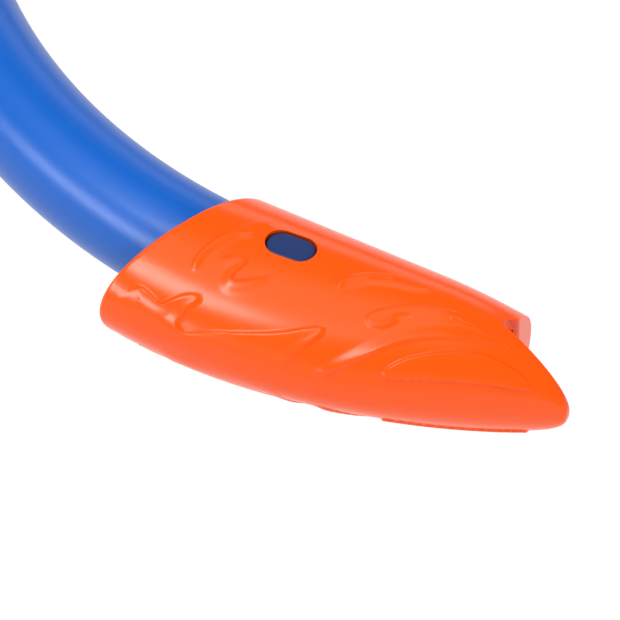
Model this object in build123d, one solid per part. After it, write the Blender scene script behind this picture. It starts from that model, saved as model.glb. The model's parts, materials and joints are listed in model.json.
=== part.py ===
"""Snorkel lying on its side: contoured tube, splash guard, strap keeper, purge chamber and mouthpiece.

Frame: the tube's bend lies in a horizontal plane, its straight length runs along +Y towards the guard, and the
wearer's side is -X. Everything is drawn about the straight length's lower end, then moved so that the origin is at
the bottom centre of the whole object's box.
"""
from build123d import *
from math import cos, pi, radians, sin, sqrt
import os

# ---- driving dimensions, mm -------------------------------------------------------------------------------------
TUBE_R = 12.0            # outer radius of the blue tube
TUBE_WALL = 2.0
TOP_BEND_R = 132.0       # bend that follows the head, to the tube's centreline
TOP_BEND = 55.0          # degrees
STRAIGHT = 80.0          # straight length that carries the keeper
LOW_BEND_R = 120.0
LOW_BEND = 25.0
TUBE_IN_GUARD = 36.0     # where the tube ends inside the guard
SPIGOT = 19.0            # straight tube inside the chamber's neck

GUARD_WALL = 2.0
GUARD_HALF_HEIGHT = 14.3
GUARD_MOUTH = 0.0        # where the mouth's rim crosses the tube's axis
GUARD_TIP = 84.2         # the beak's tip
MOUTH_SLANT = 0.58       # the mouth is cut back this much per mm towards the inner side of the bend
SQUARE_FROM = 30.0       # sections stand square to the axis from here on
TUBE_ROOM_TO = 38.0      # the hollow is kept wide enough for the tube up to here
BULGE = 24.4             # how far the guard stands out on the outer side of the bend
BULGE_AT = 18.0
MOUTH_TUCK = 0.003       # the outer side draws in towards the mouth, per mm squared
INNER_REACH = 16.6       # how far the guard stands out on the inner side, at the mouth
INNER_TAPER = 0.085      # per mm, towards the tip
TIP_REACH = 7.5
TIP_BLUNT = (0.2, 0.4)   # keeps the last section from closing to a point
NOSE_FROM = 50.0         # the height falls away from here to the tip
TIP_MIDDLE = 6.5
JAW_END = 69.0           # the short jaw's square end
NOTCH_END = 67.0         # bottom of the notch between the jaws
NOTCH = (-3.6, -1.8, -0.3)
RIM_SLOPE = 0.35         # the beak's slanting edge, out to the tip
TUBE_ROOM = 0.5          # room left beside the tube in the hollow
TUBE_FIT = 0.15          # clearance of the guard's bore on the tube
DRAIN = (20.0, 3.4, 8.0)  # slot under the guard, at the mouth
DRAIN_AT = (-9.0, -15.9)
BAFFLE = (40.0, 1.6)     # width and thickness of the scoop
BAFFLE_AT = (48.0, 8.0)
BAFFLE_LEAN = 60.0       # degrees to the tube
BAFFLE_REACH = 22.0      # the scoop covers the outer half, from 2 mm off the axis

WINDOW_AT = 20.8         # centre of the latch windows
WINDOW = (11.0, 6.8)
BUTTON = (10.4, 6.2)
BUTTON_TOP = 13.7
TONGUE = (17.0, 7.6)
TONGUE_GAP = 0.4
TONGUE_END = 28.0
STRIP_MIDDLE = 12.0      # middle height of the box that picks a strip out of the tube's wall

CHAMBER_R = 16.0
CHAMBER_WALL = 2.2
CHAMBER_END = 46.0
NECK_R = 14.6
RUN_GAP = 0.05           # running clearance of everything that turns
PORT_AT = 22.0
PORT_R = 11.0
PORT_BORE = 9.0
PORT_END = 31.5
SLEEVE = (19.4, 31.2)
SLEEVE_R = 12.6
LIP_R = 14.8
FLANGE = (64.0, 35.0)
FLANGE_AT = 54.0

KEEPER_AT = 40.0
LINER_R = 13.2
KEEPER_R = 15.6
KEEPER_LENGTH = 14.0
STRAP_SLOT = (26.0, 5.0)  # width along the tube, height
SADDLE_WIDTH = 17.0
SADDLE_TOP = 2.4         # above the keeper's ring
SADDLE_THICK = 4.0
EAR_AT = 6.7             # ears either side of the clip's knuckle
EAR_WIDTH = 3.6
EAR_R = 2.6
HINGE_BEYOND = 5.5       # the clip's pin, beyond the strap's space
HINGE_UP = 2.2
KNUCKLE = (2.4, 9.4)     # radius and width
CATCH = (8.0, 1.8, 1.6)
CLIP_WIDTH = 15.0
CLIP_THICK = 2.6
CLIP_PIN_R = 1.2
CLIP_PIN_LENGTH = 17.0

# ---- frames -----------------------------------------------------------------------------------------------------
top_centre = Vector(-TOP_BEND_R, STRAIGHT, 0)
turn = radians(TOP_BEND)
guard_out = Vector(cos(turn), sin(turn), 0)        # towards the outer side of the bend
guard_dir = Vector(-sin(turn), cos(turn), 0)       # along the tube, towards the beak
bend_end = top_centre + guard_out * TOP_BEND_R      # the bend ends under the latch windows
guard_at = bend_end - guard_dir * WINDOW_AT

low_centre = Vector(-LOW_BEND_R, 0, 0)
low_turn = radians(LOW_BEND)
chamber_dir = Vector(-sin(low_turn), -cos(low_turn), 0)
low_end = low_centre + Vector(cos(low_turn), -sin(low_turn), 0) * LOW_BEND_R
chamber_at = low_end + chamber_dir * SPIGOT          # the tube's lower end
port_dir = Vector(-cos(low_turn), sin(low_turn), 0)  # towards the wearer's mouth
port_at = chamber_at + chamber_dir * PORT_AT
UP = Vector(0, 0, 1)


def guard_point(s, v, w):
    """A point s along the tube from the guard's mouth, v towards the outer side of the bend, w up."""
    return guard_at + guard_dir * s + guard_out * v + UP * w


def rod(at, direction, radius, start, end):
    """A solid cylinder between two distances from a point, along a direction."""
    return Plane(origin=at + direction * start, z_dir=direction) * Cylinder(
        radius, end - start, align=(Align.CENTER, Align.CENTER, Align.MIN))


def ring(at, direction, inner, outer, start, end):
    return rod(at, direction, outer, start, end) - rod(at, direction, inner, start - 1, end + 1)


def block(at, along, size, centre):
    """A box of size (along, across, up) about a centre given in the same directions. Across is up x along."""
    plane = Plane(origin=at, x_dir=along, z_dir=(0, 0, 1))
    return plane * Pos(*centre) * Box(*size)


# ---- tube and latch ---------------------------------------------------------------------------------------------
def tube_path():
    start = chamber_at
    low_mid = low_centre + Vector(cos(low_turn / 2), -sin(low_turn / 2), 0) * LOW_BEND_R
    top_mid = top_centre + Vector(cos(turn / 2), sin(turn / 2), 0) * TOP_BEND_R
    end = guard_at + guard_dir * TUBE_IN_GUARD
    return Wire([
        Edge.make_line(start, low_end),
        Edge.make_three_point_arc(low_end, low_mid, Vector(0, 0, 0)),
        Edge.make_line(Vector(0, 0, 0), Vector(0, STRAIGHT, 0)),
        Edge.make_three_point_arc(Vector(0, STRAIGHT, 0), top_mid, bend_end),
        Edge.make_line(bend_end, end),
    ])


def pipe(radius):
    start = Plane(origin=chamber_at, z_dir=-chamber_dir)
    return sweep(start * Circle(radius), path=tube_path())


def tongue_slot(length, width, side):
    """The strip of tube wall that bends as a latch, as a box through one side of the tube."""
    middle = TONGUE_END - length / 2
    return block(guard_at, guard_dir, (length, width, TUBE_R), (middle, 0, side * STRIP_MIDDLE))


def main_tube():
    tube = pipe(TUBE_R) - pipe(TUBE_R - TUBE_WALL)
    for side in (1, -1):
        tube -= tongue_slot(TONGUE[0] + 2 * TONGUE_GAP, TONGUE[1] + 2 * TONGUE_GAP, side)
    return tube


def latch_tongue(side):
    """A strip of the tube's wall with the raised button that shows in the guard's window."""
    wall = pipe(TUBE_R) - pipe(TUBE_R - TUBE_WALL)
    strip = wall & block(guard_at, guard_dir, (TONGUE[0], TONGUE[1], TUBE_R),
                         (TONGUE_END - TONGUE_GAP - TONGUE[0] / 2, 0, side * STRIP_MIDDLE))
    outline = Plane(origin=guard_point(WINDOW_AT, 0, 0), x_dir=guard_dir, z_dir=(0, 0, side)) * SlotOverall(*BUTTON)
    button = extrude(outline, BUTTON_TOP) - rod(guard_at, guard_dir, TUBE_R - 1, 0, TUBE_IN_GUARD)
    button = fillet(button.edges().filter_by(lambda e: e.center().Z * side > BUTTON_TOP - 0.01), 0.6)
    return strip + button


# ---- splash guard -----------------------------------------------------------------------------------------------
def guard_outline(s):
    """Inner reach, outer reach, middle and half-height of the guard's egg-shaped section at s."""
    taper = cos(pi / 2 * max(0.0, s - BULGE_AT) / (GUARD_TIP + TIP_BLUNT[0] - BULGE_AT))
    outer = TIP_REACH + (BULGE - TIP_REACH) * taper - MOUTH_TUCK * max(0.0, BULGE_AT - s) ** 2
    inner = INNER_TAPER * s - INNER_REACH
    nose = max(0.0, s - NOSE_FROM) / (GUARD_TIP + TIP_BLUNT[1] - NOSE_FROM)
    return inner, outer, TIP_MIDDLE * nose ** 2, GUARD_HALF_HEIGHT * sqrt(1 - nose * nose)


def guard_section(s, inset=0.0, count=24):
    """The section as a face. It leans with the slanted mouth, and stands square from SQUARE_FROM on."""
    slant = MOUTH_SLANT * max(0.0, SQUARE_FROM - s) / (SQUARE_FROM - GUARD_MOUTH)
    points = []
    for k in range(count):
        angle = 2 * pi * k / count
        v = 0.0
        for _ in range(2):
            inner, outer, middle, half = guard_outline(s - slant * v)
            hollow_inner = min(inner + inset, -TUBE_R - TUBE_ROOM) if inset and s < TUBE_ROOM_TO else inner + inset
            reach = (outer - inset - middle) if cos(angle) > 0 else (middle - hollow_inner)
            v = middle + reach * cos(angle)
        points.append(guard_point(s - slant * v, v, (half - inset) * sin(angle)))
    return Face(Wire(Spline(*points, periodic=True)))


def guard_loft(stations, inset=0.0):
    return loft([guard_section(s, inset) for s in stations])


GUARD_STATIONS = (GUARD_MOUTH, 14, SQUARE_FROM, 42, 52, 61, 69, 75, 79.5, 82.5, GUARD_TIP)
HOLLOW_STATIONS = (GUARD_MOUTH + GUARD_WALL, 14, SQUARE_FROM, 37, 44, 52, 61, 69, 75, 79, 81)


def guard_hollow(inset):
    return guard_loft(HOLLOW_STATIONS, inset)


def beak_cut():
    """What the air inlet takes away: the short jaw's square end, the notch, and the slanting edge to the tip."""
    far = GUARD_TIP + 10
    corners = [(JAW_END, -30), (JAW_END, NOTCH[0]), (NOTCH_END, NOTCH[1]), (NOTCH_END, NOTCH[2])]
    corners += [(far, NOTCH[2] + RIM_SLOPE * (far - NOTCH_END)), (far, -30)]
    outline = Polyline(*[guard_point(s, v, -20) for s, v in corners], close=True)
    return extrude(Face(Wire(outline)), amount=40, dir=(0, 0, 1))


def splash_guard():
    shell = guard_loft(GUARD_STATIONS) - guard_hollow(GUARD_WALL) - beak_cut()
    shell -= pipe(TUBE_R + TUBE_FIT)
    shell -= block(guard_at, guard_dir, DRAIN, (*DRAIN_AT, 0))
    for side in (1, -1):
        window = Plane(origin=guard_point(WINDOW_AT, 0, 0), x_dir=guard_dir, z_dir=(0, 0, side)) * SlotOverall(*WINDOW)
        shell -= extrude(window, 20)
    return shell


def splash_baffle():
    """A scoop across the outer half of the guard, ahead of the tube's end, that turns spray back."""
    wide, thick = BAFFLE
    face = Plane(origin=guard_point(*BAFFLE_AT, 0), x_dir=guard_dir, z_dir=(0, 0, 1))
    plate = face * Rot(0, 0, BAFFLE_LEAN) * Box(wide, thick, wide)
    keep = block(guard_at, guard_dir, (60, 40, 40), (BAFFLE_AT[0], -BAFFLE_REACH, 0))
    return plate & guard_hollow(GUARD_WALL + RUN_GAP) & keep


# ---- keeper -----------------------------------------------------------------------------------------------------
keeper_at = Vector(0, KEEPER_AT, 0)
ALONG = Vector(0, 1, 0)
plate_z = KEEPER_R + SADDLE_TOP              # top of the keeper's saddle
clip_z = plate_z + STRAP_SLOT[1]
hinge_y = STRAP_SLOT[0] / 2 + HINGE_BEYOND
hinge_z = plate_z + HINGE_UP
saddle_half = STRAP_SLOT[0] / 2 + 3.5


def keeper_liner():
    return ring(keeper_at, ALONG, TUBE_R + RUN_GAP, LINER_R, -KEEPER_LENGTH / 2, KEEPER_LENGTH / 2)


def keeper_ring():
    body = rod(keeper_at, ALONG, KEEPER_R, -KEEPER_LENGTH / 2 + 1, KEEPER_LENGTH / 2 - 1)
    body += Pos(0, KEEPER_AT, plate_z - SADDLE_THICK / 2) * Box(SADDLE_WIDTH, 2 * saddle_half, SADDLE_THICK)
    body += Pos(0, KEEPER_AT, 12) * Box(11, KEEPER_LENGTH + 4, 8)
    for side in (1, -1):
        ear = Pos(side * EAR_AT, KEEPER_AT + hinge_y - 1.5, hinge_z - 1.6) * Box(EAR_WIDTH, 6, 4.4)
        ear += Pos(side * EAR_AT, KEEPER_AT + hinge_y, hinge_z) * Rot(0, 90, 0) * Cylinder(EAR_R, EAR_WIDTH)
        body += ear
    body -= rod(keeper_at, ALONG, LINER_R + RUN_GAP, -30, 30)
    body -= Pos(0, KEEPER_AT + hinge_y, hinge_z) * Rot(0, 90, 0) * Cylinder(CLIP_PIN_R, 30)
    catch = Pos(0, KEEPER_AT - saddle_half - CATCH[1] / 2, plate_z - CATCH[2]) * Box(*CATCH)
    return body + catch


def strap_clip():
    """The bar over the mask strap. It hinges at one end, and its foot snaps over the keeper's catch."""
    start = -saddle_half - 3.6
    end = hinge_y - 3.2
    bar = Pos(0, KEEPER_AT + (start + end) / 2, clip_z + CLIP_THICK / 2) * Box(CLIP_WIDTH, end - start, CLIP_THICK)
    bar = fillet(bar.edges().filter_by(Axis.Z), 2.4)
    bar = fillet(bar.faces().sort_by(Axis.Z)[-1].edges(), 0.8)
    foot = Pos(0, KEEPER_AT + start + 0.8, clip_z - 3.3) * Box(CATCH[0], 1.6, 8.6)
    knuckle = Pos(0, KEEPER_AT + hinge_y, hinge_z) * Rot(0, 90, 0) * Cylinder(*KNUCKLE)
    knuckle += Pos(0, KEEPER_AT + hinge_y - 1.4, (hinge_z + clip_z) / 2 + 0.6) * Box(KNUCKLE[1], 7, clip_z - hinge_z + 1.2)
    hole = Pos(0, KEEPER_AT + hinge_y, hinge_z) * Rot(0, 90, 0) * Cylinder(CLIP_PIN_R + RUN_GAP, 30)
    return bar + foot + knuckle - hole


def clip_pin():
    return Pos(0, KEEPER_AT + hinge_y, hinge_z) * Rot(0, 90, 0) * Cylinder(CLIP_PIN_R, CLIP_PIN_LENGTH)


# ---- purge chamber and valve ------------------------------------------------------------------------------------
NECK_START = -18.0
SEAL_AT = (-11.0, -8.8)
SEAT = (43.0, 45.0)
STOP_LIP = 1.6


def purge_chamber():
    inner = CHAMBER_R - CHAMBER_WALL
    body = rod(chamber_at, chamber_dir, NECK_R, NECK_START, 4)
    shell = rod(chamber_at, chamber_dir, CHAMBER_R, -1, CHAMBER_END)
    body += fillet(shell.edges().sort_by(lambda e: (e.center() - chamber_at).dot(chamber_dir))[0], 1.8)
    body += rod(port_at, port_dir, PORT_R + 2.6, 10, SLEEVE[0] - 0.3)
    body += rod(port_at, port_dir, PORT_R, 10, PORT_END)
    body -= rod(chamber_at, chamber_dir, TUBE_R + RUN_GAP, NECK_START - 1, 0)
    body -= ring(chamber_at, chamber_dir, TUBE_R - 1, LINER_R, *SEAL_AT)
    body -= rod(chamber_at, chamber_dir, TUBE_R - TUBE_WALL, -1, 4)
    body -= rod(chamber_at, chamber_dir, inner, STOP_LIP, CHAMBER_END + 1)
    body -= rod(port_at, port_dir, PORT_BORE, 0, PORT_END + 1)
    groove = ring(port_at, port_dir, PORT_R - 0.4, PORT_R + 1, 24.0, 26.4)
    seal_groove = ring(port_at, port_dir, PORT_R - 1.0, PORT_R + 1, 28.0, 29.6)
    return body - groove - seal_groove


def neck_seal():
    return ring(chamber_at, chamber_dir, TUBE_R + 0.02, LINER_R - 0.02, SEAL_AT[0] + 0.1, SEAL_AT[1] - 0.1)


def port_seal():
    return ring(port_at, port_dir, PORT_R - 0.98, PORT_R + 0.02, 28.1, 29.5)


def neck_collar():
    collar = ring(chamber_at, chamber_dir, NECK_R + 0.02, NECK_R + 1.9, NECK_START, -6)
    lip = ring(chamber_at, chamber_dir, TUBE_R + 0.02, NECK_R + 1.9, NECK_START - 1.8, NECK_START)
    collar = collar + lip
    return fillet(collar.edges().sort_by(lambda e: (e.center() - chamber_at).dot(chamber_dir))[0:2], 0.6)


def valve_seat():
    """A spoked disc that carries the purge valve."""
    seat = rod(chamber_at, chamber_dir, CHAMBER_R - CHAMBER_WALL - 0.02, *SEAT)
    face = Plane(origin=chamber_at, z_dir=chamber_dir)
    windows = PolarLocations(6.6, 6)
    for place in windows:
        seat -= face * place * Pos(0, 0, SEAT[0] - 1) * Cylinder(2.5, 5, align=(Align.CENTER, Align.CENTER, Align.MIN))
    return seat - rod(chamber_at, chamber_dir, 1.6, SEAT[0] - 1, SEAT[1] + 1)


def purge_membrane():
    """A mushroom valve: thin disc outside the seat, stem through it, bulb inside."""
    disc = rod(chamber_at, chamber_dir, 11.5, SEAT[1] + 0.05, SEAT[1] + 0.9)
    stem = rod(chamber_at, chamber_dir, 1.5, SEAT[0] - 3, SEAT[1] + 0.1)
    bulb = rod(chamber_at, chamber_dir, 2.3, SEAT[0] - 3.6, SEAT[0] - 1.4)
    return disc + stem + bulb


def purge_cover():
    """The cap over the valve, with slots that let water out."""
    cap = rod(chamber_at, chamber_dir, CHAMBER_R + 1.6, 38, 52)
    cap = fillet(cap.edges().sort_by(lambda e: (e.center() - chamber_at).dot(chamber_dir))[-1], 3.0)
    cap = cap - rod(chamber_at, chamber_dir, CHAMBER_R + 0.02, 37, CHAMBER_END + 0.02)
    cap -= rod(chamber_at, chamber_dir, CHAMBER_R - 1.6, CHAMBER_END - 1, 49.6)
    face = Plane(origin=chamber_at, x_dir=(0, 0, 1), z_dir=chamber_dir)
    for k in (-2, -1, 0, 1, 2):
        length = 2 * sqrt(13.0 ** 2 - (4.4 * k) ** 2) - 3
        slot = face * Pos(0, 4.4 * k, 48) * SlotOverall(length, 2.4)
        cap -= extrude(slot, 6, dir=chamber_dir)
    return cap


# ---- mouthpiece -------------------------------------------------------------------------------------------------
def oval(distance, width, height):
    """An oval across the port's axis. Its width lies in the plane of the bend."""
    face = Plane(origin=port_at + port_dir * distance, x_dir=chamber_dir, z_dir=port_dir)
    return face * Ellipse(width / 2, height / 2)


def swivel_sleeve():
    sleeve = ring(port_at, port_dir, PORT_R + RUN_GAP, SLEEVE_R, *SLEEVE)
    return sleeve + ring(port_at, port_dir, PORT_R - 0.3, SLEEVE_R, 24.3, 26.1)


def mouthpiece():
    """Soft mouthpiece: round neck over the swivel sleeve, oval passage, lip shield and two bite tabs."""
    neck_end = 33.5
    outer = rod(port_at, port_dir, LIP_R, SLEEVE[0] + 0.2, neck_end)
    outer += loft([oval(neck_end, 2 * LIP_R, 2 * LIP_R), oval(45, 33, 24), oval(57.5, 36, 19)])
    shield = loft([oval(FLANGE_AT, FLANGE[0], FLANGE[1]), oval(FLANGE_AT + 2.2, FLANGE[0] - 2, FLANGE[1] - 2)])
    outer += shield
    for side in (1, -1):
        tab = block(port_at, port_dir, (17, 9, 3.2), (FLANGE_AT + 9.5, side * 14.5, 0))
        ridge = block(port_at, port_dir, (3.4, 9, 8.4), (FLANGE_AT + 17.0, side * 14.5, 0))
        outer += tab + fillet(ridge.edges(), 1.2)
    bore = rod(port_at, port_dir, SLEEVE_R + 0.02, SLEEVE[0] - 1, SLEEVE[1] + 0.4)
    throat = loft([oval(SLEEVE[1] + 0.2, 2 * PORT_BORE, 2 * PORT_BORE), oval(45, 26, 18), oval(58, 29, 12.4)])
    return outer - bore - throat


def clamp_band():
    band = ring(port_at, port_dir, LIP_R + 0.02, LIP_R + 1.3, 24.0, 28.6)
    head = block(port_at, port_dir, (6.0, 5.0, 4.0), (26.3, LIP_R + 1.9, 0))
    return band + (head - rod(port_at, port_dir, LIP_R + 0.02, 20, 33))


# ---- build ------------------------------------------------------------------------------------------------------
parts = {
    "main_tube": main_tube(),
    "latch_tongue_upper": latch_tongue(1),
    "latch_tongue_lower": latch_tongue(-1),
    "splash_guard": splash_guard(),
    "splash_baffle": splash_baffle(),
    "keeper_liner": keeper_liner(),
    "keeper_ring": keeper_ring(),
    "clip_pin": clip_pin(),
    "strap_clip": strap_clip(),
    "purge_chamber": purge_chamber(),
    "neck_seal": neck_seal(),
    "neck_collar": neck_collar(),
    "valve_seat": valve_seat(),
    "purge_membrane": purge_membrane(),
    "purge_cover": purge_cover(),
    "port_seal": port_seal(),
    "swivel_sleeve": swivel_sleeve(),
    "mouthpiece": mouthpiece(),
    "clamp_band": clamp_band(),
}

surface = [tuple(point) for shape in parts.values() for point in shape.tessellate(0.02, 0.1)[0]]
low = [min(point[k] for point in surface) for k in range(3)]
high = [max(point[k] for point in surface) for k in range(3)]
shift = Vector(-(low[0] + high[0]) / 2, -(low[1] + high[1]) / 2, -low[2])

os.makedirs("parts", exist_ok=True)
for name, shape in parts.items():
    export_step(Pos(*shift) * shape, f"parts/{name}.step")
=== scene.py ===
import bmesh
import bpy
import json
import numpy as np
from math import cos, degrees, pi, radians, sin, sqrt
from mathutils import Matrix, Vector


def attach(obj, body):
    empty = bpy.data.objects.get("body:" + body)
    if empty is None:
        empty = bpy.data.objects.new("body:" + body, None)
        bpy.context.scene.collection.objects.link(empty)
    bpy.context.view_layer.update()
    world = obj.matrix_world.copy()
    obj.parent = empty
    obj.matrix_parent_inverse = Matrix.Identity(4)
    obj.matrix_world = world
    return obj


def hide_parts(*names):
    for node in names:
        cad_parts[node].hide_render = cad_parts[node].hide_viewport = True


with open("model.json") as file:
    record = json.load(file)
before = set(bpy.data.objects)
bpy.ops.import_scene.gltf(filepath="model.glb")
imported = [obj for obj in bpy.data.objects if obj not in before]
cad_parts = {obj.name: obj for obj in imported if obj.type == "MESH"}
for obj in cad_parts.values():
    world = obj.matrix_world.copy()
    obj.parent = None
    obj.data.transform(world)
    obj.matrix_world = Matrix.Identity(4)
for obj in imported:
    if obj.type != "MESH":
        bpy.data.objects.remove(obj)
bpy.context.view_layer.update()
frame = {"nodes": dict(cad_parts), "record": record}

# ---- places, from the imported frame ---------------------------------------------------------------
MM = 0.001
joints = {joint["name"]: joint for joint in frame["record"]["behaviour"]["joints"]}
UP = Vector((0, 0, 1))


def joint_point(name):
    return Vector(joints[name]["pos_m"])


def joint_axis(name):
    return Vector(joints[name]["axis"]).normalized()


guard_out = -joint_axis("latch_upper_press")
guard_dir = UP.cross(guard_out)
LATCH_ROOT = (10.6, 11.0)                       # along the guard and up from its axis, mm
guard_at = joint_point("latch_upper_press") - guard_dir * LATCH_ROOT[0] * MM - UP * LATCH_ROOT[1] * MM
chamber_at = joint_point("chamber_turn")
chamber_dir = joint_axis("chamber_turn")
port_at = joint_point("mouthpiece_turn")
port_dir = joint_axis("mouthpiece_turn")
keeper_at = joint_point("keeper_turn")

# ---- sizes, mm -----------------------------------------------------------------------------------
TUBE_R = 12.0
TUBE_BORE = 10.0
TOP_BEND_R = 132.0
TOP_BEND = 55.0
LOW_BEND_R = 120.0
LOW_BEND = 25.0
STRAIGHT = 80.0
KEEPER_UP_STRAIGHT = 40.0
SPIGOT = 19.0
WINDOW_AT = 20.8
WINDOW = (11.0, 6.8)
WINDOW_CUT = (6, 19)                            # from the guard's axis
LATCH_SLOT = (10.2, 28.0)
LATCH_SLOT_HALF = 4.2
LATCH_SLOT_CUT = (5, 14)                        # from the tube's axis
TUBE_IN_GUARD = 36.0

GUARD_HALF_HEIGHT = 14.3
GUARD_MOUTH = 0.0
GUARD_TIP = 84.2
TIP_BLUNT = (0.2, 0.4)
MOUTH_TUCK = 0.003
INNER_REACH = 16.6
INNER_TAPER = 0.085
TUBE_ROOM = 0.5
TUBE_ROOM_TO = 38
TUBE_FIT = 0.15
MOUTH_SLANT = 0.58
SQUARE_FROM = 30.0
BULGE = 24.4
BULGE_AT = 18.0
TIP_REACH = 7.5
NOSE_FROM = 50.0
TIP_MIDDLE = 6.5
GUARD_WALL = 2.0


def guard_point(s, v, w):
    """s along the guard, v towards the outside of the bend, w up, in mm."""
    return guard_at + (guard_dir * s + guard_out * v + UP * w) * MM


# ---- mesh helpers --------------------------------------------------------------------------------
def new_object(name, vertices, faces, smooth_angle=35.0):
    mesh = bpy.data.meshes.new(name)
    mesh.from_pydata([tuple(v) for v in vertices], [], faces)
    mesh.update()
    obj = bpy.data.objects.new(name, mesh)
    bpy.context.scene.collection.objects.link(obj)
    tidy_mesh(obj)
    shade(obj, smooth_angle)
    return obj


def tidy_mesh(obj):
    """Merges doubled vertices and turns every face outwards."""
    work = bmesh.new()
    work.from_mesh(obj.data)
    bmesh.ops.remove_doubles(work, verts=work.verts, dist=2e-6)
    bmesh.ops.recalc_face_normals(work, faces=work.faces)
    work.to_mesh(obj.data)
    work.free()


def shade(obj, angle=35.0):
    """Smooth faces, with edges kept sharp where they turn by more than the angle."""
    work = bmesh.new()
    work.from_mesh(obj.data)
    for face in work.faces:
        face.smooth = True
    for edge in work.edges:
        edge.smooth = len(edge.link_faces) == 2 and edge.calc_face_angle(0) < radians(angle)
    work.to_mesh(obj.data)
    work.free()


def grid_faces(rows, columns, wrap_rows=False):
    """Quads of a grid whose columns close on themselves."""
    faces = []
    for i in range(rows if wrap_rows else rows - 1):
        for j in range(columns):
            a = i * columns + j
            b = i * columns + (j + 1) % columns
            c = ((i + 1) % rows) * columns + (j + 1) % columns
            d = ((i + 1) % rows) * columns + j
            faces.append((a, b, c, d))
    return faces


def capped_grid(name, rings, smooth_angle=35.0):
    """A closed skin through a list of equal rings, with a flat cap at each end."""
    count = len(rings[0])
    vertices = [p for ring in rings for p in ring]
    faces = grid_faces(len(rings), count)
    faces.append(tuple(range(count)))
    faces.append(tuple(reversed(range((len(rings) - 1) * count, len(rings) * count))))
    return new_object(name, vertices, faces, smooth_angle)


def looped_grid(name, rings, smooth_angle=35.0):
    """A closed skin whose last ring joins its first, as on a pipe with two walls."""
    vertices = [p for ring in rings for p in ring]
    return new_object(name, vertices, grid_faces(len(rings), len(rings[0]), True), smooth_angle)


def apply_modifiers(obj):
    graph = bpy.context.evaluated_depsgraph_get()
    mesh = bpy.data.meshes.new_from_object(obj.evaluated_get(graph))
    obj.modifiers.clear()
    obj.data = mesh


def cut(obj, cutters, smooth_angle=35.0):
    """Takes the cutters' volumes out of obj, and removes the cutters."""
    for cutter in cutters:
        modifier = obj.modifiers.new("cut", "BOOLEAN")
        modifier.operation = "DIFFERENCE"
        modifier.solver = "EXACT"
        modifier.object = cutter
        bpy.context.view_layer.update()
        apply_modifiers(obj)
    for cutter in cutters:
        bpy.data.objects.remove(cutter)
    shade(obj, smooth_angle)
    return obj


def prism(name, outline, low, high):
    """A closed upright block over an outline of points."""
    rings = [[p + UP * low * MM for p in outline], [p + UP * high * MM for p in outline]]
    return capped_grid(name, rings)


def obround(length, width, count=12):
    """Points of a slot's outline about (0, 0), in mm."""
    half = (length - width) / 2
    points = []
    for side in (1, -1):
        for k in range(count + 1):
            angle = -pi / 2 + pi * k / count
            points.append((side * (half + width / 2 * cos(angle)), side * width / 2 * sin(angle)))
    return points


# ---- materials -----------------------------------------------------------------------------------
def linear(red, green, blue):
    """A colour given as 0 to 255 on screen, as the shader needs it."""
    channels = []
    for c in (red, green, blue):
        channels.append(c / 255 / 12.92 if c < 11 else ((c / 255 + 0.055) / 1.055) ** 2.4)
    return (*channels, 1)


def surface(name, colour, roughness, grain=0.0, grain_size=0.4, coat=0.0, mottle=0.05, edge=0.0, sheen=0.0,
            specular=0.5, metallic=0.0, subsurface=0.0):
    """A moulded surface: slight colour drift, roughness that varies, and a fine grain as bump."""
    material = bpy.data.materials.new(name)
    material.use_nodes = True
    nodes = material.node_tree.nodes
    links = material.node_tree.links
    shader = nodes["Principled BSDF"]
    place = nodes.new("ShaderNodeTexCoord")
    drift = nodes.new("ShaderNodeTexNoise")
    drift.inputs["Scale"].default_value = 45
    drift.inputs["Detail"].default_value = 3
    links.new(place.outputs["Object"], drift.inputs["Vector"])
    tint = nodes.new("ShaderNodeMix")
    tint.data_type = "RGBA"
    tint.inputs[6].default_value = tuple(c * (1 - mottle) for c in colour[:3]) + (1,)
    tint.inputs[7].default_value = tuple(min(1.0, c * (1 + mottle)) for c in colour[:3]) + (1,)
    links.new(drift.outputs["Fac"], tint.inputs[0])
    links.new(tint.outputs[2], shader.inputs["Base Color"])
    speck = nodes.new("ShaderNodeTexNoise")
    speck.inputs["Scale"].default_value = 1.0 / (grain_size * MM)
    speck.inputs["Detail"].default_value = 2
    links.new(place.outputs["Object"], speck.inputs["Vector"])
    rough = nodes.new("ShaderNodeMapRange")
    rough.inputs["From Min"].default_value = 0.3
    rough.inputs["From Max"].default_value = 0.7
    rough.inputs["To Min"].default_value = roughness * 0.85
    rough.inputs["To Max"].default_value = roughness * 1.15
    links.new(speck.outputs["Fac"], rough.inputs["Value"])
    links.new(rough.outputs["Result"], shader.inputs["Roughness"])
    normal = None
    if edge:
        soften = nodes.new("ShaderNodeBevel")
        soften.samples = 4
        soften.inputs["Radius"].default_value = edge * MM
        normal = soften.outputs["Normal"]
    if grain:
        bump = nodes.new("ShaderNodeBump")
        bump.inputs["Strength"].default_value = grain
        bump.inputs["Distance"].default_value = 0.05 * MM
        links.new(speck.outputs["Fac"], bump.inputs["Height"])
        if normal:
            links.new(normal, bump.inputs["Normal"])
        normal = bump.outputs["Normal"]
    if normal:
        links.new(normal, shader.inputs["Normal"])
    shader.inputs["Metallic"].default_value = metallic
    shader.inputs["Specular IOR Level"].default_value = specular
    shader.inputs["Coat Weight"].default_value = coat
    shader.inputs["Coat Roughness"].default_value = 0.12
    shader.inputs["Sheen Weight"].default_value = sheen
    shader.inputs["Subsurface Weight"].default_value = subsurface
    shader.inputs["Subsurface Radius"].default_value = (0.004, 0.002, 0.001)
    shader.inputs["Subsurface Scale"].default_value = 0.5
    return material


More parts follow.
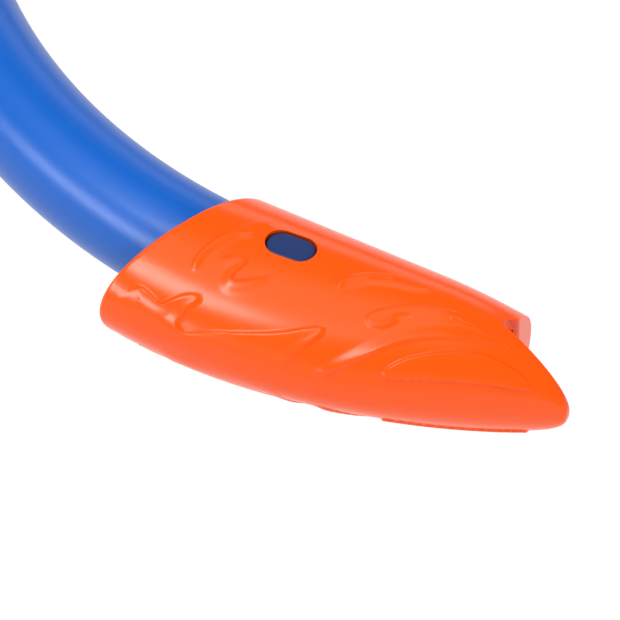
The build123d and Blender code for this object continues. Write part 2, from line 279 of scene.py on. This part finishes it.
BLUE = linear(0, 92, 190)
ORANGE = linear(255, 85, 0)
# NAVY is darker than BLUE partly as painted shade. On the latch it carries the recessed button's shade in the
# guard's window; on the sleeve it is that part's own dark blue.
NAVY = linear(30, 52, 104)
DEEP_NAVY = linear(22, 38, 84)
BLACK = linear(26, 27, 30)
looks = {
    "tube_blue": surface("tube_blue", BLUE, 0.34, grain=0.3, grain_size=0.3, mottle=0.04, specular=0.5),
    # The latch's navy is partly its own darker plastic and partly painted shade of its recess in the window.
    "latch_navy": surface("latch_navy", NAVY, 0.4, grain=0.3, edge=0.25),
    "guard_orange": surface("guard_orange", ORANGE, 0.22, grain=0.02, grain_size=0.8, mottle=0.03,
                            specular=0.4),
    "cover_orange": surface("cover_orange", ORANGE, 0.3, grain=0.05, grain_size=1.2, coat=0.35, edge=0.25),
    "keeper_black": surface("keeper_black", BLACK, 0.5, grain=0.6, grain_size=0.3, mottle=0.15, edge=0.25),
    "bush_grey": surface("bush_grey", linear(72, 75, 80), 0.65, grain=0.4, mottle=0.1),
    "pin_steel": surface("pin_steel", linear(190, 192, 196), 0.3, grain=0.3, metallic=1.0),
    "chamber_blue": surface("chamber_blue", BLUE, 0.3, grain=0.25, grain_size=0.35, edge=0.3),
    "collar_orange": surface("collar_orange", ORANGE, 0.55, grain=0.5, grain_size=0.3, edge=0.3),
    "seal_black": surface("seal_black", linear(18, 18, 20), 0.5, grain=0.2),
    "seat_white": surface("seat_white", linear(214, 220, 224), 0.45, grain=0.2),
    "valve_silicone": surface("valve_silicone", linear(206, 216, 224), 0.4, grain=0.1, subsurface=0.3),
    "sleeve_blue": surface("sleeve_blue", NAVY, 0.45, grain=0.3),
    "mouthpiece_navy": surface("mouthpiece_navy", DEEP_NAVY, 0.42, grain=0.25, grain_size=0.6, mottle=0.08,
                               sheen=0.25, subsurface=0.1),
    "band_black": surface("band_black", BLACK, 0.5, grain=0.5, mottle=0.15, edge=0.2),
}


def finish_piece(obj, node, body, slot):
    """obj stands for a CAD node: it rides on the body and takes the slot's look."""
    obj.data.materials.clear()
    obj.data.materials.append(looks[slot])
    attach(obj, body)
    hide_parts(node)
    return obj


# ---- tube ----------------------------------------------------------------------------------------
def tube_stations(step=1.2):
    """(point, outward direction across the bend) along the tube's axis, from its lower end to the guard."""
    origin = keeper_at - Vector((0, KEEPER_UP_STRAIGHT, 0)) * MM
    stations = []

    def straight(start, direction, length):
        out = Vector((direction.y, -direction.x, 0))
        count = max(1, int(length / step))
        for k in range(count):
            stations.append((start + direction * length * k / count * MM, out))

    def arc(centre, radius, first, last):
        count = max(1, int(abs(radians(last - first)) * radius / step))
        for k in range(count):
            angle = radians(first + (last - first) * k / count)
            out = Vector((cos(angle), sin(angle), 0))
            stations.append((centre + out * radius * MM, out))

    straight(chamber_at, -chamber_dir, SPIGOT)
    arc(origin - Vector((LOW_BEND_R, 0, 0)) * MM, LOW_BEND_R, -LOW_BEND, 0)
    straight(origin, Vector((0, 1, 0)), STRAIGHT)
    arc(origin + Vector((-TOP_BEND_R, STRAIGHT, 0)) * MM, TOP_BEND_R, 0, TOP_BEND)
    straight(guard_point(WINDOW_AT, 0, 0), guard_dir, TUBE_IN_GUARD - WINDOW_AT)
    stations.append((guard_point(TUBE_IN_GUARD, 0, 0), guard_out))
    return stations


def tube_ring(station, radius, count, seam=0.0):
    """A circle of points. The seam is a fine moulding ridge at the top and the bottom."""
    point, out = station
    ring = []
    for k in range(count):
        angle = 2 * pi * k / count
        r = radius + (seam if k in (count // 4, 3 * count // 4) else 0)
        ring.append(point + (out * cos(angle) + UP * sin(angle)) * r * MM)
    return ring


def make_tube():
    stations = tube_stations()
    count = 144
    outer = [tube_ring(s, TUBE_R, count, 0.07) for s in stations]
    inner = [tube_ring(s, TUBE_BORE, count) for s in stations]
    tube = looped_grid("tube_wall", outer + inner[::-1], 50)
    slots = []
    for side in (1, -1):
        low, high = sorted(side * cut_at for cut_at in LATCH_SLOT_CUT)
        slots.append(prism("slot", guard_box(*LATCH_SLOT, -LATCH_SLOT_HALF, LATCH_SLOT_HALF), low, high))
    return cut(tube, slots, 50)


# ---- splash guard --------------------------------------------------------------------------------
def guard_outline(s):
    taper = cos(pi / 2 * max(0.0, s - BULGE_AT) / (GUARD_TIP + TIP_BLUNT[0] - BULGE_AT))
    outer = TIP_REACH + (BULGE - TIP_REACH) * taper - MOUTH_TUCK * max(0.0, BULGE_AT - s) ** 2
    inner = -INNER_REACH + INNER_TAPER * s
    nose = min(1.0, max(0.0, s - NOSE_FROM) / (GUARD_TIP + TIP_BLUNT[1] - NOSE_FROM))
    return inner, outer, TIP_MIDDLE * nose ** 2, GUARD_HALF_HEIGHT * sqrt(1 - nose * nose)


def guard_ring(s, inset, count, height=None):
    """Points round the guard at s. height(s, angle) raises the surface."""
    slant = MOUTH_SLANT * max(0.0, SQUARE_FROM - s) / (SQUARE_FROM - GUARD_MOUTH)
    ring = []
    for k in range(count):
        angle = 2 * pi * k / count
        v = 0.0
        for _ in range(2):
            inner, outer, middle, half = guard_outline(s - slant * v)
            if inset > 1.5 and s < TUBE_ROOM_TO:
                inner = min(inner, -TUBE_R - TUBE_ROOM - inset)
            reach = (outer - middle) if cos(angle) > 0 else (middle - inner)
            v = middle + max(reach - inset, 0.05) * cos(angle)
        w = max(half - inset, 0.05) * sin(angle)
        ring.append((s - slant * v, v, w, degrees(angle)))
    if height is not None:
        at = np.array(ring)
        lift = height(at[:, 0], np.minimum(at[:, 3], 360 - at[:, 3]))
        ahead = np.roll(at[:, 1:3], -1, 0) - np.roll(at[:, 1:3], 1, 0)
        normal = np.stack([ahead[:, 1], -ahead[:, 0]], 1)
        normal /= np.linalg.norm(normal, axis=1)[:, None] + 1e-9
        at[:, 1:3] += normal * lift[:, None]
        ring = [tuple(row) for row in at]
    return [guard_point(p[0], p[1], p[2]) for p in ring]


# Flame lines: points as (mm along the guard, degrees round it from its outer side), which side is raised,
# and how far the raised side takes to fade back into the surface, mm.
FLAMES = (
    (((-9, 19), (-7, 27), (-4.5, 37), (-2, 36), (1, 33), (3, 38), (5.5, 44), (8, 46), (8.5, 43), (7, 36),
      (6, 28), (6, 23), (8, 21), (13, 28), (19, 34), (26, 41), (33, 50), (35, 49), (34, 43), (31, 30),
      (29, 16), (28.5, 4)), -1, 7.0),
    (((36, 15), (38, 22), (41.5, 31), (45.5, 41), (49, 50), (53, 57), (59, 64), (64, 69), (68, 74),
      (71.5, 78)), 1, 3.0),
    (((71.5, 78), (69.5, 82), (65.5, 81.5), (60, 81), (56, 80)), 1, 1.2),
    (((48.5, 66), (47, 62), (45, 59), (42.8, 60), (42, 65), (44, 70), (47.5, 75), (52, 80), (56, 83),
      (60, 87)), -1, 3.0),
    (((34.2, 74), (33.5, 79), (35, 84), (38, 89), (41.5, 94), (44, 98)), -1, 2.6),
    (((37, 84), (42, 88.5), (46, 90), (50, 92), (52, 96)), -1, 1.2),
    (((5.6, 57), (4.3, 63), (5, 72), (7, 81), (9.5, 90), (12, 99), (15, 107)), -1, 2.6),
    (((8.3, 69), (12.5, 74), (14.4, 72), (13.4, 66), (13.2, 61), (16, 63), (20.5, 70)), -1, 2.6),
    (((9.5, 87), (12, 88.5), (13.8, 92)), -1, 1.0),
)
LENS = ((49.2, 27), (49.2, 33), (52, 42), (56.5, 50), (61, 56), (65, 60), (69, 62), (72.5, 61),
        (75.5, 57), (76.8, 49), (75.5, 41), (71, 37), (64, 33), (57, 29.5), (51.5, 26.5))
LENS_SPAN = (48, 78)
LENS_ARC = (25, 64)
RELIEF = 0.46
STEP_WIDTH = 0.3
MM_PER_DEGREE = 0.28


def smooth_curve(points, closed=False, steps=6):
    """A Catmull-Rom curve through the points, as an array in mm across the unrolled surface."""
    p = np.array([(s, a * MM_PER_DEGREE) for s, a in points], float)
    p = np.vstack([p[-1], p, p[:2]]) if closed else np.vstack([2 * p[0] - p[1], p, 2 * p[-1] - p[-2]])
    out = []
    for i in range(1, len(p) - 2):
        for k in range(steps):
            t = k / steps
            out.append(0.5 * (2 * p[i] + (p[i + 1] - p[i - 1]) * t
                              + (2 * p[i - 1] - 5 * p[i] + 4 * p[i + 1] - p[i + 2]) * t * t
                              + (3 * p[i] - p[i - 1] - 3 * p[i + 1] + p[i + 2]) * t ** 3))
    out.append(out[0] if closed else p[-2])
    return np.array(out)


def ramp(x):
    x = np.clip(x, 0, 1)
    return x * x * (3 - 2 * x)


def nearest(curve, s, y):
    """Distance to the curve, which side of it, and how far along it, for arrays of points."""
    a = curve[:-1]
    d = curve[1:] - a
    long = (d ** 2).sum(1) + 1e-12
    rx = s[:, None] - a[None, :, 0]
    ry = y[:, None] - a[None, :, 1]
    t = np.clip((rx * d[:, 0] + ry * d[:, 1]) / long, 0, 1)
    ex = rx - t * d[:, 0]
    ey = ry - t * d[:, 1]
    distance = np.sqrt(ex ** 2 + ey ** 2)
    k = distance.argmin(1)
    row = np.arange(len(s))
    side = np.sign(d[k, 0] * ry[row, k] - d[k, 1] * rx[row, k])
    return distance[row, k], side, (k + t[row, k]) / len(a)


def inside(curve, s, y):
    hit = np.zeros(len(s), bool)
    for (x0, y0), (x1, y1) in zip(curve[:-1], curve[1:]):
        crosses = (y0 > y) != (y1 > y)
        if y1 != y0:
            hit ^= crosses & (s < (x1 - x0) * (y - y0) / (y1 - y0) + x0)
    return hit


flame_curves = [(smooth_curve(points), side, fade) for points, side, fade in FLAMES]
lens_curve = smooth_curve(LENS, closed=True)


def relief(s, angle):
    """Height of the flame lines above the plain surface, mm."""
    y = angle * MM_PER_DEGREE
    total = np.zeros(len(s))
    for curve, raised, fade in flame_curves:
        low = curve.min(0) - fade - 1
        high = curve.max(0) + fade + 1
        near = (s > low[0]) & (s < high[0]) & (y > low[1]) & (y < high[1])
        if near.any():
            distance, side, along = nearest(curve, s[near], y[near])
            signed = distance * side * raised
            ends = ramp(along * 8) * ramp((1 - along) * 8)
            step = ramp(signed / STEP_WIDTH + 0.5) * (1 - ramp(signed / fade))
            total[near] = np.maximum(total[near], RELIEF * step * ends)
    near = (s > LENS_SPAN[0]) & (s < LENS_SPAN[1])
    near &= (y > LENS_ARC[0] * MM_PER_DEGREE) & (y < LENS_ARC[1] * MM_PER_DEGREE)
    if near.any():
        distance, _, _ = nearest(lens_curve, s[near], y[near])
        signed = np.where(inside(lens_curve, s[near], y[near]), distance, -distance)
        total[near] = np.maximum(total[near], RELIEF * ramp(signed / STEP_WIDTH + 0.5))
    return total


RIM_ROUND = 0.9
JAW_END = 69.0
NOTCH_END = 67.0
NOTCH_EDGE = ((JAW_END, -3.8), (JAW_END - 0.3, -3.4), (NOTCH_END + 0.3, -2.1), (NOTCH_END, -1.5))
NOTCH_ROUND = 0.9
NOTCH_TURN = 110
RIM_SLOPE = 0.35
THROUGH = 20                                    # past the guard's top and bottom
JAW_WALL = 3.6
JAW_WALL_TO = 0.4
INLET_FROM = -3.0
INLET_HALF_HEIGHT = 8.2
BORE_SPAN = (-26, 25)
DRAIN = (-19, 1, 14.2, 17.6)
DRAIN_HALF = 4
HOLLOW_LENGTH = 79.0
COUNT_ROUND = 352
COUNT_ALONG = 262


def beak_cutter():
    """The air inlet: the short jaw's square end, the rounded notch, and the beak's slanting edge."""
    far = GUARD_TIP + 12
    points = [(far, -32), (JAW_END, -32), *NOTCH_EDGE]
    for k in range(1, 9):
        angle = radians(90 - NOTCH_TURN * k / 8)
        across = -NOTCH_ROUND + NOTCH_ROUND * cos(angle)
        points.append((NOTCH_END + NOTCH_ROUND - NOTCH_ROUND * sin(angle), across))
    start_s, start_v = points[-1]
    points.append((far, start_v + RIM_SLOPE * (far - start_s)))
    return prism("beak_cutter", [guard_point(s, v, 0) for s, v in points], -THROUGH, THROUGH)


def guard_box(near, far, low, high):
    """A rectangle's corners, along the guard from near to far and across it from low to high, in mm."""
    return [guard_point(s, v, 0) for s, v in ((near, low), (far, low), (far, high), (near, high))]


def jaw_wall():
    """The wall across the short jaw's end, in three blocks that leave the air inlet open."""
    near = JAW_END - JAW_WALL
    far = JAW_END + 2
    across = guard_box(near, far, -30, INLET_FROM)
    lintel = guard_box(near, far, -8, JAW_WALL_TO)
    return [prism("jaw_wall", across, -THROUGH, THROUGH),
            prism("jaw_wall", lintel, INLET_HALF_HEIGHT, THROUGH),
            prism("jaw_wall", lintel, -THROUGH, -INLET_HALF_HEIGHT)]


def window_cutter(side):
    outline = [guard_point(WINDOW_AT + x, y, 0) for x, y in obround(*WINDOW)]
    low, high = sorted(side * cut_at for cut_at in WINDOW_CUT)
    return prism("window_cutter", outline, low, high)


def bore_cutter():
    """The room for the tube through the guard's end wall."""
    low, high = (s * MM for s in BORE_SPAN)
    stations = [s for s in tube_stations() if low < (s[0] - guard_at).dot(guard_dir) < high]
    return capped_grid("bore_cutter", [tube_ring(s, TUBE_R + TUBE_FIT, 96) for s in stations])


def make_guard():
    rows = []
    for k in range(7):
        angle = radians(90 * (1 - k / 6))
        rows.append((GUARD_MOUTH + RIM_ROUND * (1 - sin(angle)), RIM_ROUND * (1 - cos(angle))))
    first = rows[-1][0]
    rows += [(first + (GUARD_TIP - first) * k / COUNT_ALONG, 0) for k in range(1, COUNT_ALONG + 1)]
    rows += [(GUARD_TIP + 0.15, 0.25), (GUARD_TIP + 0.27, 0.6)]
    shell = capped_grid("guard_shell", [guard_ring(s, inset, COUNT_ROUND, relief) for s, inset in rows], 50)
    hollow_rows = [GUARD_MOUTH + GUARD_WALL + HOLLOW_LENGTH * k / 60 for k in range(61)]
    hollow = capped_grid("hollow", [guard_ring(s, GUARD_WALL, 160) for s in hollow_rows])
    hollow = cut(hollow, jaw_wall())
    drain = prism("drain", guard_box(*DRAIN), -DRAIN_HALF, DRAIN_HALF)
    return cut(shell, [hollow, bore_cutter(), drain, window_cutter(1), window_cutter(-1), beak_cutter()], 40)


# ---- mouthpiece ----------------------------------------------------------------------------------
def port_point(distance, across, up):
    """distance along the port, across in the plane of the bend, up, in mm."""
    return port_at + (port_dir * distance + chamber_dir * across + UP * up) * MM


def oval_ring(distance, width, height, count=96, bow=0.0):
    """An oval across the port. bow bends it back at its ends, as a lip shield follows the teeth."""
    ring = []
    for k in range(count):
        angle = 2 * pi * k / count
        x = width / 2 * cos(angle)
        y = height / 2 * sin(angle)
        ring.append(port_point(distance - bow * (x / 32.0) ** 2, x, y))
    return ring


# Rings of the mouthpiece, mm: distance along the port, width, height, bow.
MOUTH_PROFILE = (
    (19.8, 28.6, 28.6, 0), (20.3, 29.4, 29.4, 0), (22.8, 29.6, 29.6, 0), (29.6, 29.6, 29.6, 0),
    (32.0, 29.6, 29.4, 0), (36.0, 30.4, 27.6, 0), (41.0, 31.8, 24.8, 0), (46.0, 33.6, 22.0, 0),
    (50.0, 36.0, 20.6, 0), (52.6, 40.0, 22.0, 1.0), (53.8, 46.0, 26.0, 2.0), (54.2, 54.0, 30.5, 2.6),
    (54.2, 60.0, 33.4, 2.8), (54.6, 63.0, 34.6, 2.9), (55.4, 63.8, 35.0, 2.9), (56.2, 63.0, 34.4, 2.9),
    (56.5, 60.0, 32.6, 2.8), (56.4, 52.0, 27.0, 2.2), (56.2, 42.0, 19.5, 1.4), (56.0, 33.0, 14.4, 0.8),
    (55.4, 30.0, 13.0, 0.4), (53.0, 28.4, 13.4, 0), (45.0, 26.0, 18.0, 0), (38.0, 22.0, 18.0, 0),
    (32.4, 18.4, 18.2, 0), (31.6, 25.24, 25.24, 0), (20.6, 25.24, 25.24, 0), (19.8, 26.2, 26.2, 0),
)
TAB_FROM = 53.6
TAB_LENGTH = 18.6
TAB_SUNK = 0.6
TAB_APART = 14.5                                # from the port's axis to a tab's middle
TAB_HALF_WIDTH = 4.5
TAB_HALF_HEIGHT = 1.6
TAB_END = 72.3
TAB_END_ROUND = 1.2
RIDGE_AT = 70.4
RIDGE_HALF_LENGTH = 2.1
RIDGE_HEIGHT = 2.6


def make_mouthpiece():
    """One soft skin: neck, flare, lip shield, and back down the throat to the bore that takes the sleeve."""
    rings = [oval_ring(distance, width, height, 96, bow) for distance, width, height, bow in MOUTH_PROFILE]
    skin = looped_grid("mouthpiece_skin", rings, 70)
    smooth = skin.modifiers.new("smooth", "SUBSURF")
    smooth.levels = 1
    smooth.render_levels = 1
    apply_modifiers(skin)
    tabs = [bite_tab(side) for side in (1, -1)]
    join(skin, tabs)
    shade(skin, 70)
    return skin


def bite_tab(side):
    """A tab for the teeth: a flat tongue with a rounded ridge across its end."""
    rings = []
    for k in range(25):
        along = TAB_FROM + TAB_LENGTH * k / 24
        ridge = max(0.0, 1 - abs(along - RIDGE_AT) / RIDGE_HALF_LENGTH) ** 0.5
        half_height = TAB_HALF_HEIGHT + RIDGE_HEIGHT * ridge
        fade = min(1.0, (TAB_END - along) / TAB_END_ROUND)
        half_width = TAB_HALF_WIDTH * (0.75 + 0.25 * fade)
        half_height *= 0.35 + 0.65 * sqrt(max(0.0, fade))
        ring = []
        for j in range(32):
            angle = 2 * pi * j / 32
            x = abs(cos(angle)) ** 0.5 * (1 if cos(angle) > 0 else -1)
            y = abs(sin(angle)) ** 0.5 * (1 if sin(angle) > 0 else -1)
            ring.append(port_point(along - TAB_SUNK, side * TAB_APART + half_width * x, half_height * y))
        rings.append(ring)
    return capped_grid("bite_tab", rings, 60)


def join(target, others):
    """Adds the others' meshes to the target as loose shells of one piece."""
    work = bmesh.new()
    work.from_mesh(target.data)
    for other in others:
        work.from_mesh(other.data)
        bpy.data.objects.remove(other)
    work.to_mesh(target.data)
    work.free()


# ---- the harder pieces: the CAD shapes with rounded edges ----------------------------------------
def refine(node, name, bevel):
    """A copy of a CAD node with its edges rounded."""
    mesh = frame["nodes"][node].data.copy()
    obj = bpy.data.objects.new(name, mesh)
    bpy.context.scene.collection.objects.link(obj)
    work = bmesh.new()
    work.from_mesh(mesh)
    bmesh.ops.remove_doubles(work, verts=work.verts, dist=2e-6)
    bmesh.ops.dissolve_limit(work, angle_limit=radians(1.0), verts=work.verts, edges=work.edges)
    work.to_mesh(mesh)
    work.free()
    rounding = obj.modifiers.new("rounding", "BEVEL")
    rounding.width = bevel * MM
    rounding.segments = 2
    rounding.limit_method = "ANGLE"
    rounding.angle_limit = radians(40)
    rounding.use_clamp_overlap = True
    bpy.context.view_layer.update()
    apply_modifiers(obj)
    shade(obj, 32)
    return obj


finish_piece(make_tube(), "main_tube", "tube", "tube_blue")
finish_piece(make_guard(), "splash_guard", "tube", "guard_orange")
finish_piece(make_mouthpiece(), "mouthpiece", "mouthpiece", "mouthpiece_navy")

bodies = frame["record"]["behaviour"]["bodies"]
body_of_node = {node: body for body, nodes in bodies.items() for node in nodes}
slot_of_node = {part["node"]: part["material_slot"] for part in frame["record"]["subparts"]}
REFINED = (
    ("latch_tongue_upper", 0.2), ("latch_tongue_lower", 0.2), ("splash_baffle", 0.3), ("keeper_liner", 0.25),
    ("keeper_ring", 0.4), ("clip_pin", 0.2), ("strap_clip", 0.35), ("purge_chamber", 0.4), ("neck_seal", 0.2),
    ("neck_collar", 0.3), ("valve_seat", 0.2), ("purge_membrane", 0.15), ("purge_cover", 0.35),
    ("port_seal", 0.2), ("swivel_sleeve", 0.2), ("clamp_band", 0.3),
)
for node, bevel in REFINED:
    finish_piece(refine(node, node + "_piece", bevel), node, body_of_node[node], slot_of_node[node])


# ---- floor, light and camera ---------------------------------------------------------------------
def make_floor():
    half = 3.0
    corners = [(-half, -half, 0), (half, -half, 0), (half, half, 0), (-half, half, 0)]
    floor = new_object("floor", [Vector(c) for c in corners], [(0, 1, 2, 3)])
    floor.location.z = -0.0002
    paint = surface("floor_white", linear(20, 20, 20), 0.8, mottle=0.0, specular=0.0)
    shader = paint.node_tree.nodes["Principled BSDF"]
    shader.inputs["Emission Color"].default_value = (1, 1, 1, 1)
    shader.inputs["Emission Strength"].default_value = 1.0
    floor.data.materials.append(paint)


VIEW_TURN = radians(169.6)
VIEW_HEIGHT = radians(50.0)
VIEW_WIDTH = 0.12443
VIEW_DISTANCE = 1.6
VIEW_SHIFT = (0.0038, 0.01285)                  # of the aim, to the right and down
right = Vector((cos(VIEW_TURN), sin(VIEW_TURN), 0))
away = Vector((-sin(VIEW_TURN), cos(VIEW_TURN), 0))
image_up = away * sin(VIEW_HEIGHT) + UP * cos(VIEW_HEIGHT)
forward = away * cos(VIEW_HEIGHT) - UP * sin(VIEW_HEIGHT)


def turned_to(direction, top):
    """A rotation that looks along direction with top upwards."""
    side = direction.cross(top).normalized()
    true_top = side.cross(direction).normalized()
    return Matrix((side, true_top, -direction)).transposed().to_4x4()


def make_camera():
    data = bpy.data.cameras.new("camera")
    data.sensor_width = 36.0
    data.lens = 36.0 * VIEW_DISTANCE / VIEW_WIDTH
    data.clip_start = 0.05
    data.clip_end = 20
    camera = bpy.data.objects.new("camera", data)
    bpy.context.scene.collection.objects.link(camera)
    target = guard_point(WINDOW_AT, 0, 14.0) + right * VIEW_SHIFT[0] - image_up * VIEW_SHIFT[1]
    camera.matrix_world = Matrix.Translation(target - forward * VIEW_DISTANCE) @ turned_to(forward, UP)
    bpy.context.scene.camera = camera


def soft_light(name, offset, size, power, diffuse=True, glossy=True):
    """A softbox at (right, away, up) metres from the guard, aimed at it."""
    data = bpy.data.lights.new(name, "AREA")
    data.shape = "RECTANGLE"
    data.size = size[0]
    data.size_y = size[1]
    data.energy = power
    light = bpy.data.objects.new(name, data)
    bpy.context.scene.collection.objects.link(light)
    aim = guard_point(30, 0, 0)
    at = aim + right * offset[0] + away * offset[1] + UP * offset[2]
    light.matrix_world = Matrix.Translation(at) @ turned_to((aim - at).normalized(), UP)
    light.visible_diffuse = diffuse
    light.visible_glossy = glossy


def make_world():
    world = bpy.data.worlds.new("world")
    world.use_nodes = True
    world.node_tree.nodes["Background"].inputs[0].default_value = (1, 1, 1, 1)
    world.node_tree.nodes["Background"].inputs[1].default_value = 0.2
    bpy.context.scene.world = world


make_floor()
make_camera()
soft_light("left_shine", (-1.03, -0.37, 0.44), (0.8, 0.2), 6, diffuse=False)
soft_light("top_shine", (-0.6, -0.2, 1.02), (0.3, 0.3), 3, diffuse=False)
soft_light("right_fill", (1.1, -0.5, 0.4), (0.6, 0.6), 5, glossy=False)
soft_light("front_fill", (-0.5, -1.1, 0.3), (1.3, 0.5), 5, glossy=False)
soft_light("top_fill", (-0.4, 0.1, 1.2), (0.9, 0.9), 17, glossy=False)
soft_light("back_shine", (0.2, 1.2, 0.5), (0.7, 0.4), 1.2, diffuse=False)
make_world()
bpy.context.scene.view_settings.view_transform = "Standard"
